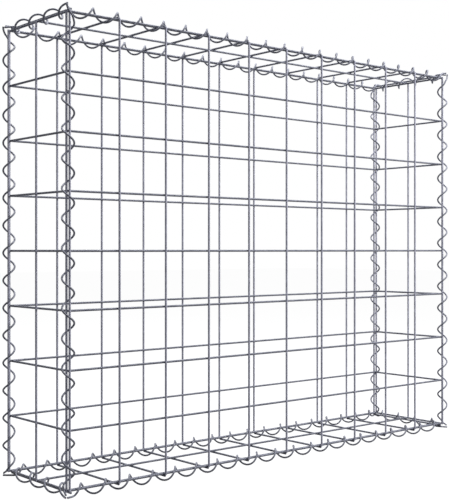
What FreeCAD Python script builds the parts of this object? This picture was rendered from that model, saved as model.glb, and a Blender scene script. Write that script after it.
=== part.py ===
"""Gabion basket of welded wire mesh panels laced together with closing spirals.

Six flat panels of round galvanised wire make a tall, narrow box for stones. Each
edge of the box is closed by a wire spiral that is wound round the edge wires of the
two panels that meet there, and the spirals' ends are drawn together at a point just
outside each corner. Every wire is a straight eight-sided bar of the round wire's
section area, so that crossing wires meet flat to flat at their welds, and a spiral
is a square rod of its wire's section area, mitred at each bend.
+X runs along the basket, -Y is its front and +Z is up. The origin is on the ground
under the middle of the basket.
"""
import FreeCAD, Part
import math
import os

V = FreeCAD.Vector
X = V(1, 0, 0)
Y = V(0, 1, 0)
Z = V(0, 0, 1)

# Mesh, in millimetres
mesh = 100.0
cells_long = 10
cells_deep = 2
cells_high = 8
wire_diameter = 4.0
bar_sides = 8

# Closing spirals
spiral_wire_diameter = 3.5
spiral_diameter = 24.0
turns_per_cell = 2
bends_per_turn = 7
inner_corner_setback = 21.0
seat_gap = 0.3

# Ends of the spirals at a corner, outward along X, Y and Z from where its wires' lines meet
tip_end = (8.9, 8.9, 5.8)
crossing_end = (8.9, 8.9, 9.9)
beside_end = (3.9, 10.5, 9.9)
meeting_end = (6.6, 10.4, 9.9)
foot_bend = (9.0, -0.5, -1.0)
top_bend_drop = 5.0

# Sizes that follow
length = cells_long * mesh
depth = cells_deep * mesh
height = cells_high * mesh
bar_half = wire_diameter / 2 * math.sqrt(math.pi / (bar_sides * math.tan(math.pi / bar_sides)))
bar = 2 * bar_half
rod_half = spiral_wire_diameter / 4 * math.sqrt(math.pi)
rest_level = 3 * bar_half + rod_half * math.sqrt(2) + seat_gap
pitch = mesh / turns_per_cell
bend_angle = 2 * math.pi / bends_per_turn
mean_radius = (spiral_diameter - spiral_wire_diameter) / 2
bend_radius = mean_radius * math.sqrt(bend_angle / math.sin(bend_angle))

# Lines of the mesh: wire positions along, across and up the box
along_lines = [i * mesh - length / 2 for i in range(cells_long + 1)]
across_lines = [i * mesh - depth / 2 for i in range(cells_deep + 1)]
up_lines = [i * mesh for i in range(cells_high + 1)]

nodes = {}


def closed_solid(rings):
    """The closed solid whose flat faces join the rings of corner points in turn."""
    outlines = [rings[0][::-1], rings[-1]]
    for low, high in zip(rings, rings[1:]):
        for k in range(len(low)):
            outlines.append([low[k - 1], low[k], high[k], high[k - 1]])
    faces = [Part.Face(Part.makePolygon(outline + outline[:1])) for outline in outlines]
    shell = Part.makeShell(faces)
    shell.sewShape()
    return Part.makeSolid(shell)


def straight_wire(middle, direction, run, outward=V()):
    """One straight wire of the given length, its middle on the given point.

    Where an outward side is given, both ends are mitred and reach furthest on that side.
    """
    across = V(direction.y, direction.z, direction.x)
    up = direction.cross(across)
    corner_radius = bar_half / math.cos(math.pi / bar_sides)
    rings = [[], []]
    for i in range(bar_sides):
        angle = math.pi / bar_sides * (2 * i + 1)
        corner = (across * math.cos(angle) + up * math.sin(angle)) * corner_radius
        half_run = run / 2 + corner.dot(outward)
        rings[0].append(middle + corner - direction * half_run)
        rings[1].append(middle + corner + direction * half_run)
    return closed_solid(rings)


def mitred_rod(path):
    """A closed square rod along the path, mitred where it bends and cut off square."""
    runs = [(b - a).normalize() for a, b in zip(path, path[1:])]
    mitres = [a + b for a, b in zip(runs, runs[1:])]
    planes = runs[:1] + mitres + runs[-1:]
    square = [(1, 1), (-1, 1), (-1, -1), (1, -1)]
    turn = FreeCAD.Rotation(Z, runs[0])
    ring = [path[0] + turn.multVec(V(x * rod_half, y * rod_half, 0)) for x, y in square]
    rings = []
    for point, plane, run in zip(path, planes, runs[:1] + runs):
        ring = [c + run * ((point - c).dot(plane) / run.dot(plane)) for c in ring]
        rings.append(ring)
    return closed_solid(rings)


def coil(axis_point, direction, crest_side, hand, start, stop):
    """Bend points of a spiral wound about a line.

    The strand points to the crest side at zero and at every pitch along the line;
    hand is 1 for a right-handed spiral and -1 for a left-handed one.
    """
    bends = round(abs(stop - start) / pitch * bends_per_turn)
    side = direction.cross(crest_side) * hand
    points = []
    for i in range(bends + 1):
        place = start + (stop - start) * i / bends
        angle = 2 * math.pi * place / pitch
        spoke = crest_side * math.cos(angle) + side * math.sin(angle)
        points.append(axis_point + direction * place + spoke * bend_radius)
    return points


def corner_point(side_x, side_y, side_z, reach):
    """The point that lies outward from a corner of the box by the given reach."""
    out_x, out_y, out_z = reach
    level = height + out_z if side_z > 0 else -out_z
    return V(side_x * (length / 2 + out_x), side_y * (depth / 2 + out_y), level)


def corner_run(start, side_x, side_y, side_z):
    """Where a strand goes from its last bend to the corner.

    A strand from inside the box is laid over the lid's or bottom's end wire. One from
    outside ends beside that strand, or beside the other strand from outside.
    """
    inset_x = side_x * start.x - length / 2
    inset_y = side_y * start.y - depth / 2
    if inset_x > 0 or inset_y > 0:
        end_x, end_y, end_z = beside_end if side_z > 0 else meeting_end
        reach = (end_x, end_y, end_z) if inset_y > 0 else (end_y, end_x, end_z)
        return [corner_point(side_x, side_y, side_z, reach)]
    share = (inset_x + bar) / (inset_x - crossing_end[0])
    rest_y = inset_y + (crossing_end[1] - inset_y) * share
    return [corner_point(side_x, side_y, side_z, (-bar, rest_y, rest_level)),
            corner_point(side_x, side_y, side_z, crossing_end)]


def seat(bend, wires):
    """Where a strand ends that is bent in towards the nearest of the edge wires' axes."""
    wire = min(wires, key=lambda point: (point - bend).Length)
    return wire + (bend - wire).normalize() * (bar_half + seat_gap)


# Front and back panels: lying wires inside, upright wires welded on outside. At the corners
# the lying wires meet those of the side panels in mitres
for name, side in (("front", -1), ("back", 1)):
    plane = side * depth / 2
    lying = [straight_wire(V(0, plane, z), X, length, Y * side) for z in up_lines]
    upright = [straight_wire(V(x, plane + side * bar, height / 2), Z, height + bar)
               for x in along_lines]
    nodes[name + "_panel"] = Part.makeCompound(lying + upright)

# Side panels: the same
for name, side in (("left", -1), ("right", 1)):
    plane = side * length / 2
    lying = [straight_wire(V(plane, 0, z), Y, depth, X * side) for z in up_lines]
    upright = [straight_wire(V(plane + side * bar, y, height / 2), Z, height + bar)
               for y in across_lines]
    nodes[name + "_panel"] = Part.makeCompound(lying + upright)

# Lid and bottom: their long wires lie between the other panels' lying wires, and their cross
# wires lie on top of them in the lid and pass under them in the bottom
edge_line = depth / 2 - bar
end_line = length / 2 - bar
cross_lines = [-end_line] + along_lines[1:-1] + [end_line]
for name, level, cross_level in (("lid", height, height + bar), ("bottom", 0, -bar)):
    long_wires = [straight_wire(V(0, y, level), X, length - bar)
                  for y in (-edge_line, 0, edge_line)]
    cross_wires = [straight_wire(V(x, 0, cross_level), Y, depth + bar) for x in cross_lines]
    nodes[name + "_panel"] = Part.makeCompound(long_wires + cross_wires)

# Long spirals, along the top and bottom edges of the front and back panels
run_in = pitch / bends_per_turn
for name, side_z, level in (("top", 1, height + bar_half), ("bottom", -1, -bar_half)):
    for side_name, side_y in (("front", -1), ("back", 1)):
        line = V(0, side_y * (depth / 2 - bar_half), level)
        path = coil(line, X, Z * side_z, -1, run_in - length / 2, length / 2 - run_in)
        first = corner_run(path[0], -1, side_y, side_z)
        last = corner_run(path[-1], 1, side_y, side_z)
        nodes["spiral_" + name + "_" + side_name] = mitred_rod(first[::-1] + path + last)

# Short spirals, along the top and bottom edges of the side panels: the bottom ones stop
# short, with a bend on to the edge wires, at the corner where both strands turn inward
for side_name, side_x in (("left", -1), ("right", 1)):
    line = V(side_x * length / 2, 0, height + bar_half)
    path = coil(line, Y, Z, -1, run_in - depth / 2, depth / 2 - run_in)
    first = corner_run(path[0], side_x, -1, 1)
    last = corner_run(path[-1], side_x, 1, 1)
    nodes["spiral_top_" + side_name] = mitred_rod(first[::-1] + path + last)

    line = V(side_x * (length / 2 - bar_half), 0, -bar_half)
    near = -side_x * (depth / 2 - inner_corner_setback)
    far = side_x * (depth / 2 - run_in)
    path = coil(line, Y, -Z, 1, near, far)
    edge_wires = [V(side_x * length / 2, near, 0), V(side_x * end_line, near, -bar)]
    last = corner_run(path[-1], side_x, side_x, -1)
    nodes["spiral_bottom_" + side_name] = mitred_rod([seat(path[0], edge_wires)] + path + last)

# Upright spirals: the front left one, drawn out to the tip of the corner at both ends,
# and its mirror images at the other three corners
line = V(-length / 2 - bar_half, -depth / 2 - bar_half, 0)
path = coil(line, Z, -X, -1, pitch / 4, height - pitch * 3 / 8)
first = [corner_point(-1, -1, -1, tip_end), corner_point(-1, -1, -1, foot_bend)]
last = [line - Y * bend_radius + Z * (height - top_bend_drop), corner_point(-1, -1, 1, tip_end)]
corner = mitred_rod(first + path + last)
nodes["spiral_front_left"] = corner
nodes["spiral_front_right"] = corner.mirror(V(), X)
nodes["spiral_back_left"] = corner.mirror(V(), Y)
nodes["spiral_back_right"] = corner.mirror(V(), X).mirror(V(), Y)

# The lowest bends of the bottom spirals stand on the ground
ground = min(shape.BoundBox.ZMin for shape in nodes.values())
os.makedirs("parts", exist_ok=True)
for name, shape in nodes.items():
    shape.translate(V(0, 0, -ground))
    shape.exportStep("parts/" + name + ".step")
    print(name, len(shape.Solids), "solids,", round(shape.Volume), "mm3")
print("lifted by", round(-ground, 3), "mm")
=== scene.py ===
"""A tall, narrow gabion basket of welded galvanised wire mesh, laced with wire spirals."""
import math

import bpy
from mathutils import Matrix, Vector


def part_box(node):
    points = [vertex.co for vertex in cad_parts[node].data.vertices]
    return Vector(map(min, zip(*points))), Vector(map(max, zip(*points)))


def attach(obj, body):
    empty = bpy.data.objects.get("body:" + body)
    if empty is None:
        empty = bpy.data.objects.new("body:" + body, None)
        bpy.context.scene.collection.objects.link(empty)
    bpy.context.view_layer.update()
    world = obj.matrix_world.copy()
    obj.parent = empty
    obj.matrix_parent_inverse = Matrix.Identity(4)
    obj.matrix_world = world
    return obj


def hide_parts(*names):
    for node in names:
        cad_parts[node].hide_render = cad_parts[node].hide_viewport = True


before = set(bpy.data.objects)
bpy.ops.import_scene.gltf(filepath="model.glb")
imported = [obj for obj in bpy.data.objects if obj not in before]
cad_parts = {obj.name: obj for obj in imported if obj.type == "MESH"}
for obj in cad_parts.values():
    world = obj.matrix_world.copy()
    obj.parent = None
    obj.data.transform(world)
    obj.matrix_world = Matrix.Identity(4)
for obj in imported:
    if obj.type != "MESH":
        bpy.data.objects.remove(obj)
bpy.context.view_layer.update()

# Front and back panels
# Flat welded mats of 4 mm wire on a 100 mm grid: nine lying wires inside and eleven upright
# wires outside, each crossing pressed and welded, the ends sheared flush with the edge wire.
cell = 0.1
wire_radius = 0.002
wire_sides = 16
end_bevel = 0.0003
sheared_edge = math.radians(60)
smooth_angle = math.radians(40)
weld_spread = 0.95
weld_press = 0.5
spangle_scale = 420.0
spangle_share = 0.35
patch_scale = 55.0
grit_share = 0.5
relief_depth = 0.0001
front_low, front_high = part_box("front_panel")
back_low, back_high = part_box("back_panel")
flat = (front_high.y - front_low.y) / 4
base = front_low.z + flat
top = front_high.z - flat
half_length = front_high.x - flat
half_depth = -(front_high.y - flat)


def zinc_effect():
    """Node group: colour, roughness and relief of a zinc coat, from place on the wire.

    The coat is blue-grey and satin, with a faint spangle, a fine grit, and duller, darker
    patches where it has weathered.
    """
    group = bpy.data.node_groups.new("zinc coat", "ShaderNodeTree")
    inputs = (("Clean", "NodeSocketColor"), ("Dull", "NodeSocketColor"),
              ("Grain", "NodeSocketFloat"), ("Smooth", "NodeSocketFloat"),
              ("Rough", "NodeSocketFloat"))
    for name, kind in inputs:
        group.interface.new_socket(name, in_out="INPUT", socket_type=kind)
    outputs = (("Color", "NodeSocketColor"), ("Roughness", "NodeSocketFloat"),
               ("Relief", "NodeSocketFloat"))
    for name, kind in outputs:
        group.interface.new_socket(name, in_out="OUTPUT", socket_type=kind)
    nodes, links = group.nodes, group.links
    given = nodes.new("NodeGroupInput")
    result = nodes.new("NodeGroupOutput")
    place = nodes.new("ShaderNodeTexCoord")

    spangle = nodes.new("ShaderNodeTexVoronoi")
    spangle.inputs["Scale"].default_value = spangle_scale
    links.new(place.outputs["Object"], spangle.inputs["Vector"])
    patches = nodes.new("ShaderNodeTexNoise")
    patches.inputs["Scale"].default_value = patch_scale
    patches.inputs["Detail"].default_value = 6.0
    patches.inputs["Roughness"].default_value = 0.65
    links.new(place.outputs["Object"], patches.inputs["Vector"])
    grit = nodes.new("ShaderNodeTexNoise")
    grit.inputs["Detail"].default_value = 3.0
    links.new(place.outputs["Object"], grit.inputs["Vector"])
    links.new(given.outputs["Grain"], grit.inputs["Scale"])

    facet = nodes.new("ShaderNodeRGBToBW")
    links.new(spangle.outputs["Color"], facet.inputs["Color"])
    cloud = nodes.new("ShaderNodeMapRange")
    cloud.inputs["From Min"].default_value = 0.38
    cloud.inputs["From Max"].default_value = 0.66
    links.new(patches.outputs["Fac"], cloud.inputs["Value"])
    weight = nodes.new("ShaderNodeMath")
    weight.operation = "MULTIPLY_ADD"
    weight.inputs[1].default_value = spangle_share
    links.new(facet.outputs["Val"], weight.inputs[0])
    part = nodes.new("ShaderNodeMath")
    part.operation = "MULTIPLY"
    part.inputs[1].default_value = 1 - spangle_share
    links.new(cloud.outputs["Result"], part.inputs[0])
    links.new(part.outputs["Value"], weight.inputs[2])

    colour = nodes.new("ShaderNodeMix")
    colour.data_type = "RGBA"
    links.new(weight.outputs["Value"], colour.inputs["Factor"])
    links.new(given.outputs["Clean"], colour.inputs["A"])
    links.new(given.outputs["Dull"], colour.inputs["B"])
    links.new(colour.outputs["Result"], result.inputs["Color"])
    sheen = nodes.new("ShaderNodeMix")
    links.new(weight.outputs["Value"], sheen.inputs["Factor"])
    links.new(given.outputs["Smooth"], sheen.inputs["A"])
    links.new(given.outputs["Rough"], sheen.inputs["B"])
    links.new(sheen.outputs["Result"], result.inputs["Roughness"])
    relief = nodes.new("ShaderNodeMath")
    relief.operation = "MULTIPLY_ADD"
    relief.inputs[1].default_value = grit_share
    links.new(grit.outputs["Fac"], relief.inputs[0])
    links.new(weight.outputs["Value"], relief.inputs[2])
    links.new(relief.outputs["Value"], result.inputs["Relief"])
    return group


def zinc(name, clean, dull, grain, smooth, rough):
    """A zinc-coated steel, from its clean and dull colours and its roughness range."""
    material = bpy.data.materials.new(name)
    material.use_nodes = True
    nodes, links = material.node_tree.nodes, material.node_tree.links
    surface = nodes["Principled BSDF"]
    surface.inputs["Metallic"].default_value = 0.05
    surface.inputs["Specular IOR Level"].default_value = 0.1
    coat = nodes.new("ShaderNodeGroup")
    coat.node_tree = zinc_coat
    coat.inputs["Clean"].default_value = (*clean, 1)
    coat.inputs["Dull"].default_value = (*dull, 1)
    coat.inputs["Grain"].default_value = grain
    coat.inputs["Smooth"].default_value = smooth
    coat.inputs["Rough"].default_value = rough
    bump = nodes.new("ShaderNodeBump")
    bump.inputs["Strength"].default_value = 0.25
    bump.inputs["Distance"].default_value = relief_depth
    links.new(coat.outputs["Relief"], bump.inputs["Height"])
    links.new(coat.outputs["Color"], surface.inputs["Base Color"])
    links.new(coat.outputs["Roughness"], surface.inputs["Roughness"])
    links.new(bump.outputs["Normal"], surface.inputs["Normal"])
    return material


def wire(name, start, end):
    """One straight wire from start to end: a rod with its cut ends lightly rounded."""
    run = end - start
    bpy.ops.object.select_all(action="DESELECT")
    bpy.ops.mesh.primitive_cylinder_add(
        vertices=wire_sides, radius=wire_radius, depth=run.length, location=(start + end) / 2,
        rotation=run.to_track_quat("Z", "Y").to_euler())
    rod = bpy.context.object
    rod.name = name
    bpy.ops.object.transform_apply()
    rim = rod.modifiers.new("sheared end", "BEVEL")
    rim.width = end_bevel
    rim.segments = 1
    rim.angle_limit = sheared_edge
    bpy.ops.object.modifier_apply(modifier=rim.name)
    return rod


def row(rod, step, count):
    """Adds copies of a wire at an even step to its own mesh."""
    bpy.ops.object.select_all(action="DESELECT")
    bpy.context.view_layer.objects.active = rod
    rod.select_set(True)
    copies = rod.modifiers.new("row", "ARRAY")
    copies.use_relative_offset = False
    copies.use_constant_offset = True
    copies.constant_offset_displace = step
    copies.count = count
    bpy.ops.object.modifier_apply(modifier=copies.name)


def welds(name, first, steps, counts, across):
    """Squeezed weld collars at each crossing of a mat; across points from wire to wire."""
    bpy.ops.object.select_all(action="DESELECT")
    bpy.ops.mesh.primitive_uv_sphere_add(segments=10, ring_count=5, radius=1, location=first,
                                         rotation=across.to_track_quat("Z", "Y").to_euler())
    collar = bpy.context.object
    collar.name = name
    collar.scale = (wire_radius * weld_spread, wire_radius * weld_spread, wire_radius * weld_press)
    bpy.ops.object.transform_apply()
    for step, count in zip(steps, counts):
        row(collar, step, count)
    return collar


def mat(name, parts, zincs):
    """Joins the wires and welds of one panel, each in its zinc, into a finished piece."""
    bpy.ops.object.select_all(action="DESELECT")
    for part, coat in zip(parts, zincs):
        part.data.materials.append(coat)
        part.select_set(True)
    bpy.context.view_layer.objects.active = parts[0]
    bpy.ops.object.join()
    panel = bpy.context.object
    panel.name = name.replace("_panel", "_mesh")
    bpy.ops.object.origin_set(type="ORIGIN_CURSOR")
    bpy.ops.object.shade_smooth_by_angle(angle=smooth_angle)
    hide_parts(name)
    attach(panel, "root")


zinc_coat = zinc_effect()
# Painted light and shade: the upright wires' zinc is painted lighter. The zinc of the lying wires,
# welds, lid and bottom is painted darker. This stands in for light and shade that fall differently
# on upright and lying wire; the real wires all wear one coat.
upright_zinc_painted_light = zinc("upright zinc painted light", (0.72, 0.73, 0.83), (0.52, 0.53, 0.62), 900.0, 0.36, 0.52)
lying_zinc_painted_shade = zinc("lying zinc painted shade", (0.31, 0.32, 0.36), (0.18, 0.19, 0.23), 900.0, 0.40, 0.55)
columns = round(2 * half_length / cell) + 1
ranks = round(2 * half_depth / cell) + 1
levels = round((top - base) / cell) + 1
for name, side in (("front_panel", -1), ("back_panel", 1)):
    inner = side * half_depth
    outer = side * (half_depth + 2 * flat)
    lying = wire("lying", Vector((-half_length - flat, inner, base)),
                 Vector((half_length + flat, inner, base)))
    row(lying, (0, 0, cell), levels)
    upright = wire("upright", Vector((-half_length, outer, base - flat)),
                   Vector((-half_length, outer, top + flat)))
    row(upright, (cell, 0, 0), columns)
    spots = welds("welds", (-half_length, (inner + outer) / 2, base),
                  ((cell, 0, 0), (0, 0, cell)), (columns, levels), Vector((0, 1, 0)))
    mat(name, [lying, upright, spots], [lying_zinc_painted_shade, upright_zinc_painted_light, lying_zinc_painted_shade])

# Side panels
# The same mesh, two cells wide. Their lying wires are level with the front's and back's and
# end against them, close inside the end uprights.
for name, side in (("left_panel", -1), ("right_panel", 1)):
    inner = side * half_length
    outer = side * (half_length + 2 * flat)
    lying = wire("lying", Vector((inner, flat - half_depth, base)),
                 Vector((inner, half_depth - flat, base)))
    row(lying, (0, 0, cell), levels)
    upright = wire("upright", Vector((outer, -half_depth, base - flat)),
                   Vector((outer, -half_depth, top + flat)))
    row(upright, (0, cell, 0), ranks)
    spots = welds("welds", ((inner + outer) / 2, -half_depth, base),
                  ((0, cell, 0), (0, 0, cell)), (ranks, levels), Vector((1, 0, 0)))
    mat(name, [lying, upright, spots], [lying_zinc_painted_shade, upright_zinc_painted_light, lying_zinc_painted_shade])

# Lid and bottom
# The long wires lie between the other panels' lying wires. The lid's cross wires rest on top
# of them, and the bottom's pass underneath, the two end ones just inside the side panels.
edge_rank = half_depth - 2 * flat
end_column = half_length - 2 * flat
inner_columns = columns - 2
for name, level, cross_level in (("lid_panel", top, top + 2 * flat),
                                 ("bottom_panel", base, base - 2 * flat)):
    along = wire("long", Vector((flat - half_length, -edge_rank, level)),
                 Vector((half_length - flat, -edge_rank, level)))
    row(along, (0, edge_rank, 0), ranks)
    across = wire("cross", Vector((cell - half_length, -half_depth - flat, cross_level)),
                  Vector((cell - half_length, half_depth + flat, cross_level)))
    row(across, (cell, 0, 0), inner_columns)
    ends = wire("end cross", Vector((-end_column, -half_depth - flat, cross_level)),
                Vector((-end_column, half_depth + flat, cross_level)))
    row(ends, (2 * end_column, 0, 0), 2)
    weld_level = (level + cross_level) / 2
    spots = welds("welds", (cell - half_length, -edge_rank, weld_level),
                  ((cell, 0, 0), (0, edge_rank, 0)), (inner_columns, ranks), Vector((0, 0, 1)))
    end_spots = welds("end welds", (-end_column, -edge_rank, weld_level),
                      ((2 * end_column, 0, 0), (0, edge_rank, 0)), (2, ranks),
                      Vector((0, 0, 1)))
    mat(name, [along, across, ends, spots, end_spots], [lying_zinc_painted_shade] * 5)

# Closing spirals
# Open coils of 3.5 mm hard wire, 24 mm across with two turns to a cell, screwed by hand round
# the edge wires of the two panels that meet. Their ends are drawn out to the box's corners.
coil_wire = 0.00175
coil_radius = 0.01025
pitch = cell / 2
coil_sides = 12
steps_per_turn = 24
steps_per_bend = 7
end_chamfer = 0.0003
end_search = coil_wire * 1.1
# Painted shade: the spirals' zinc is painted darker than the upright wires' zinc, for the shade
# that falls on the coils.
spiral_zinc_painted_shade = zinc("spiral zinc", (0.38, 0.39, 0.44), (0.23, 0.24, 0.28), 1200.0, 0.34, 0.50)
up, along_x, along_y = Vector((0, 0, 1)), Vector((1, 0, 0)), Vector((0, 1, 0))


def strand_at(line, direction, crest, hand, place):
    """Where the wire of a coil is at a place along its line, and where it heads.

    It points to the crest side at every pitch; hand is 1 for a right-handed coil.
    """
    turn = 2 * math.pi * place / pitch * hand
    side = direction.cross(crest)
    spoke = crest * math.cos(turn) + side * math.sin(turn)
    swing = (side * math.cos(turn) - crest * math.sin(turn)) * hand
    heading = direction + swing * (2 * math.pi * coil_radius / pitch)
    return line + direction * place + spoke * coil_radius, heading.normalized()


def wind(name, line, direction, crest, hand, start, stop):
    """The turns of a coil, screwed up round Z and then laid on its line."""
    turns = (stop - start) / pitch
    point, heading = strand_at(Vector(), up, along_x, hand, start)
    bpy.ops.object.select_all(action="DESELECT")
    bpy.ops.mesh.primitive_circle_add(vertices=coil_sides, radius=coil_wire, location=point,
                                      rotation=heading.to_track_quat("Z", "Y").to_euler())
    strand = bpy.context.object
    strand.name = name.replace("spiral", "coil")
    bpy.ops.object.transform_apply()
    screw = strand.modifiers.new("turns", "SCREW")
    screw.axis = "Z"
    screw.angle = 2 * math.pi * turns * hand
    screw.screw_offset = stop - start
    screw.iterations = 1
    screw.steps = round(turns * steps_per_turn)
    screw.render_steps = screw.steps
    bpy.ops.object.modifier_apply(modifier=screw.name)
    turned = Matrix((crest, direction.cross(crest), direction)).transposed().to_4x4()
    strand.matrix_world = Matrix.Translation(line) @ turned
    bpy.ops.object.transform_apply()
    return strand


def bend_end(strand, point, heading, stops):
    """Draws the open end at a point on through smooth bends, and cuts it off square.

    Each stop is the next point and the strand's heading there.
    """
    bpy.ops.object.select_all(action="DESELECT")
    bpy.context.view_layer.objects.active = strand
    strand.select_set(True)
    for face in strand.data.polygons:
        face.select = False
    for vertex in strand.data.vertices:
        vertex.select = (vertex.co - point).length < end_search
    for edge in strand.data.edges:
        edge.select = all(strand.data.vertices[i].select for i in edge.vertices)
    bpy.ops.object.mode_set(mode="EDIT")
    bpy.ops.mesh.select_mode(type="EDGE")
    for goal, arrival in stops:
        origin, leaving = point.copy(), heading.copy()
        run = goal - origin
        for i in range(1, steps_per_bend + 1):
            t = i / steps_per_bend
            share = t * t * (3 - 2 * t)
            drift = leaving * t * (1 - t) ** 2 + arrival * t * t * (t - 1)
            slide = leaving * (1 - t) * (1 - 3 * t) + arrival * t * (3 * t - 2)
            spot = origin + run * share + drift * run.length
            course = (run * (6 * t * (1 - t)) + slide * run.length).normalized()
            bpy.ops.mesh.extrude_edges_move(TRANSFORM_OT_translate={"value": spot - point})
            turn = heading.rotation_difference(course).to_euler("XYZ")
            for axis, angle in zip("XYZ", turn):
                bpy.ops.transform.rotate(value=-angle, orient_axis=axis, center_override=spot)
            point, heading = spot, course
    bpy.ops.mesh.edge_face_add()
    bpy.ops.mesh.inset(thickness=end_chamfer)
    bpy.ops.transform.translate(value=heading * end_chamfer)
    bpy.ops.object.mode_set(mode="OBJECT")


def finish_spiral(strand, node):
    """Turns a coil's faces outward, smooths it and lets it stand for its CAD node."""
    bpy.ops.object.mode_set(mode="EDIT")
    bpy.ops.mesh.select_all(action="SELECT")
    bpy.ops.mesh.normals_make_consistent(inside=False)
    bpy.ops.object.mode_set(mode="OBJECT")
    bpy.ops.object.shade_smooth_by_angle(angle=smooth_angle)
    strand.data.materials.append(spiral_zinc_painted_shade)
    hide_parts(node)
    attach(strand, "root")


def corner_spot(corner, reach):
    """The point at a reach outward along X, Y and Z from a corner of the edge wires' lines."""
    level = top if corner.z > 0 else base
    return Vector((corner.x * (half_length + reach[0]), corner.y * (half_depth + reach[1]),
                   level + corner.z * reach[2]))


def corner_heading(corner, heading):
    """A heading given outward along X, Y and Z, turned to a corner's own sides."""
    return Vector([side * way for side, way in zip(corner, heading)]).normalized()


# Long and short spirals
# At each end a strand from inside the box is laid over the lid's or bottom's end wire, and a
# strand from outside comes beside it, so that both end at the corner's tip.
crossing_leave = 0.011
beside_leave = 0.009
seat_slack = 0.0001
rest_level = 2 * flat + wire_radius + coil_wire + seat_slack
# The reaches and headings below point outward from where the edge wires' lines meet
rest_reach_x = (-2 * flat, -0.0065, rest_level)
rest_reach_y = (-2 * flat, -0.003, rest_level)
rest_heading = (0.7, 0.7, 0.03)
crossing_reach_top = (0.0075, 0.0075, 0.0069)
crossing_reach_bottom = (0.0096, 0.0096, 0.0084)
crossing_heading = (0.66, 0.66, 0.02)
beside_reach_x = (0.0048, 0.0103, 0.0100)
beside_reach_y = (0.0075, 0.0090, 0.0105)
meeting_reach_x = (0.0078, 0.0104, 0.0084)
meeting_reach_y = (0.0104, 0.0078, 0.0084)
outside_heading_x = (1, 0.35, 0)
outside_heading_y = (0.2, 1, 0)


def corner_stops(corner, along, inside):
    """The stops of a strand that comes to a corner along X or Y, from inside or outside."""
    lengthwise = along == along_x
    if inside:
        rest = rest_reach_x if lengthwise else rest_reach_y
        end = crossing_reach_top if corner.z > 0 else crossing_reach_bottom
        return [(corner_spot(corner, rest), corner_heading(corner, rest_heading)),
                (corner_spot(corner, end), corner_heading(corner, crossing_heading))]
    if lengthwise:
        reach = beside_reach_x if corner.z > 0 else meeting_reach_x
        heading = outside_heading_x
    else:
        reach = beside_reach_y if corner.z > 0 else meeting_reach_y
        heading = outside_heading_y
    return [(corner_spot(corner, reach), corner_heading(corner, heading))]


def edge_spiral(name, line, along, crest, hand, corners):
    """A coil along one edge, from its first corner to its second, drawn out to both."""
    far = half_length if along == along_x else half_depth
    runs = []
    for corner in corners:
        way = corner.dot(along)
        inward = along.cross(crest) * hand * -math.copysign(1, way)
        inside = inward.dot(corner) < 0
        leave = crossing_leave if inside else beside_leave
        runs.append((corner, inside, way * (far - leave)))
    strand = wind(name, line, along, crest, hand, runs[0][2], runs[1][2])
    for corner, inside, place in runs:
        point, heading = strand_at(line, along, crest, hand, place)
        bend_end(strand, point, heading * corner.dot(along),
                 corner_stops(corner, along, inside))
    finish_spiral(strand, name)


for name, rise, level in (("top", 1, top + flat), ("bottom", -1, base - flat)):
    for side_name, side in (("front", -1), ("back", 1)):
        edge_spiral(f"spiral_{name}_{side_name}", Vector((0, side * (half_depth - flat), level)),
                    along_x, up * rise, -1,
                    (Vector((-1, side, rise)), Vector((1, side, rise))))
for side_name, side in (("left", -1), ("right", 1)):
    edge_spiral("spiral_top_" + side_name, Vector((side * half_length, 0, top + flat)),
                along_y, up, -1, (Vector((side, -1, 1)), Vector((side, 1, 1))))

# Short bottom spirals
# They reach one corner, and at the other, where the long one also comes from inside, they
# stop short with the end bent on to an edge wire.
early_stop = 0.021
for side_name, side in (("left", -1), ("right", 1)):
    line = Vector((side * (half_length - flat), 0, base - flat))
    near, far = side * (early_stop - half_depth), side * (half_depth - beside_leave)
    name = "spiral_bottom_" + side_name
    strand = wind(name, line, along_y, -up, 1, min(near, far), max(near, far))
    point, heading = strand_at(line, along_y, -up, 1, far)
    corner = Vector((side, side, -1))
    bend_end(strand, point, heading * side, corner_stops(corner, along_y, False))
    point, heading = strand_at(line, along_y, -up, 1, near)
    edge_wires = [Vector((side * half_length, near, base)),
                  Vector((side * (half_length - 2 * flat), near, base - 2 * flat))]
    target = min(edge_wires, key=lambda wire_point: (wire_point - point).length)
    inward = (target - point).normalized()
    bend_end(strand, point, heading * -side, [(target - inward * wire_radius, inward)])
    finish_spiral(strand, name)

# Corner spirals
# The four upright coils are mirror images of each other. The lower end leans on a corner
# wire's foot, the last quarter turn is stretched, and both ends come out at a corner's tip.
tip_reach = (0.0090, 0.0104, 0.0080)
foot_tip = (0.0094, 0.0078, 0.0047)
foot_reach = (0.0081, -0.0005, -0.0010)
mid_drop = 0.007
mid_heading = (0.7, 0, 0.7)
tip_heading = (-0.05, -0.05, 1)
foot_heading = (0.1, 0.6, 0.78)
foot_tip_heading = (0, 0.6, 0.8)
first_place = pitch / 4
last_place = top - base - pitch * 3 / 8
for side_name, side in (("left", -1), ("right", 1)):
    for face_name, face in (("front", -1), ("back", 1)):
        name = f"spiral_{face_name}_{side_name}"
        line = Vector((side * (half_length + flat), face * (half_depth + flat), base))
        crest = Vector((side, 0, 0))
        hand = -side * face
        strand = wind(name, line, up, crest, hand, first_place, last_place)
        corner = Vector((side, face, 1))
        point, heading = strand_at(line, up, crest, hand, last_place)
        middle = Vector((line.x, line.y + face * coil_radius, top - mid_drop))
        bend_end(strand, point, heading,
                 [(middle, corner_heading(corner, mid_heading)),
                  (corner_spot(corner, tip_reach), corner_heading(corner, tip_heading))])
        corner = Vector((side, face, -1))
        point, heading = strand_at(line, up, crest, hand, first_place)
        bend_end(strand, point, -heading,
                 [(corner_spot(corner, foot_reach), corner_heading(corner, foot_heading)),
                  (corner_spot(corner, foot_tip), corner_heading(corner, foot_tip_heading))])
        finish_spiral(strand, name)

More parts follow.
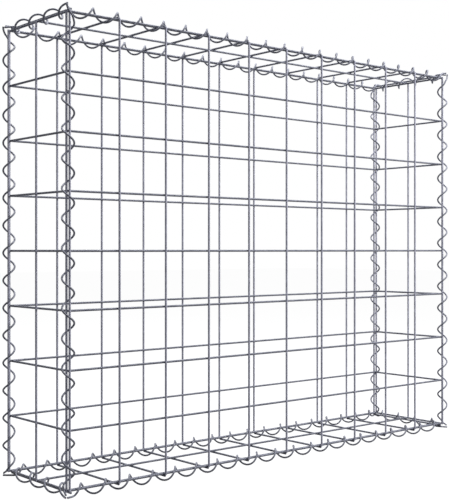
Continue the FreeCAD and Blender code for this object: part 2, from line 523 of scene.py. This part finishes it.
# Floor, light and camera
# A plain white studio: a pale floor, a wide soft light overhead and others round the front,
# with the camera low in front of the left corner, as in the photograph.
floor_size = 30
camera_place = (-1.3745, -1.5305, 0.4015 + base)
camera_turn = (math.radians(90), 0, math.radians(-40.36))
camera_lens = 71.57
sensor_width = 36
lamp_colour = (0.95, 0.95, 1.0)


def seen_white(tree, dim, white, output):
    """Shows one shader to camera, glossy and transmission rays, and a dim one to the rest."""
    nodes, links = tree.nodes, tree.links
    path = nodes.new("ShaderNodeLightPath")
    straight = nodes.new("ShaderNodeMath")
    straight.operation = "MAXIMUM"
    links.new(path.outputs["Is Camera Ray"], straight.inputs[0])
    links.new(path.outputs["Is Glossy Ray"], straight.inputs[1])
    shown = nodes.new("ShaderNodeMath")
    shown.operation = "MAXIMUM"
    links.new(straight.outputs["Value"], shown.inputs[0])
    links.new(path.outputs["Is Transmission Ray"], shown.inputs[1])
    blend = nodes.new("ShaderNodeMixShader")
    links.new(shown.outputs["Value"], blend.inputs["Fac"])
    links.new(dim, blend.inputs[1])
    links.new(white, blend.inputs[2])
    links.new(blend.outputs["Shader"], nodes[output].inputs["Surface"])


bpy.ops.object.select_all(action="DESELECT")
bpy.ops.mesh.primitive_plane_add(size=floor_size, location=(0, 0, 0))
floor = bpy.context.object
floor.name = "floor"
paper = bpy.data.materials.new("floor")
paper.use_nodes = True
nodes = paper.node_tree.nodes
matt = nodes["Principled BSDF"]
matt.inputs["Base Color"].default_value = (0.07, 0.07, 0.08, 1)
matt.inputs["Roughness"].default_value = 0.9
pale = nodes.new("ShaderNodeBsdfDiffuse")
pale.inputs["Color"].default_value = (0.10, 0.10, 0.10, 1)
glow = nodes.new("ShaderNodeEmission")
glow.inputs["Strength"].default_value = 0.98
lit = nodes.new("ShaderNodeAddShader")
paper.node_tree.links.new(pale.outputs["BSDF"], lit.inputs[0])
paper.node_tree.links.new(glow.outputs["Emission"], lit.inputs[1])
seen_white(paper.node_tree, matt.outputs["BSDF"], lit.outputs["Shader"], "Material Output")
floor.data.materials.append(paper)

world = bpy.data.worlds.new("studio")
bpy.context.scene.world = world
world.use_nodes = True
nodes = world.node_tree.nodes
dim = nodes["Background"]
dim.inputs["Color"].default_value = (0.80, 0.84, 1.0, 1)
dim.inputs["Strength"].default_value = 0.02
white = nodes.new("ShaderNodeBackground")
white.inputs["Color"].default_value = (1, 1, 1, 1)
seen_white(world.node_tree, dim.outputs["Background"], white.outputs["Background"],
           "World Output")


def lamp(name, place, aim, size, power):
    """A soft square light aimed at a point."""
    bpy.ops.object.light_add(type="AREA", location=place)
    light = bpy.context.object
    light.name = name
    light.rotation_euler = (Vector(aim) - Vector(place)).to_track_quat("-Z", "Y").to_euler()
    light.data.size = size
    light.data.energy = power
    light.data.color = lamp_colour


lamp("overhead", (0.2, 0.2, 2.6), (0, 0, 0.4), 2.4, 85.1)
lamp("front", (1.2, -1.5, 1.6), (0.4, 0, 0.6), 0.8, 31.1)
lamp("near", (-1.0, -2.3, 1.3), (-0.2, 0, 0.4), 1.0, 1.7)
lamp("left", (-2.6, -0.4, 1.2), (-0.4, 0, 0.4), 1.0, 1.2)

camera_data = bpy.data.cameras.new("camera")
camera = bpy.data.objects.new("camera", camera_data)
bpy.context.collection.objects.link(camera)
camera.location = camera_place
camera.rotation_euler = camera_turn
camera_data.sensor_width = sensor_width
camera_data.lens = camera_lens
bpy.context.scene.camera = camera
bpy.context.scene.view_settings.view_transform = "Standard"
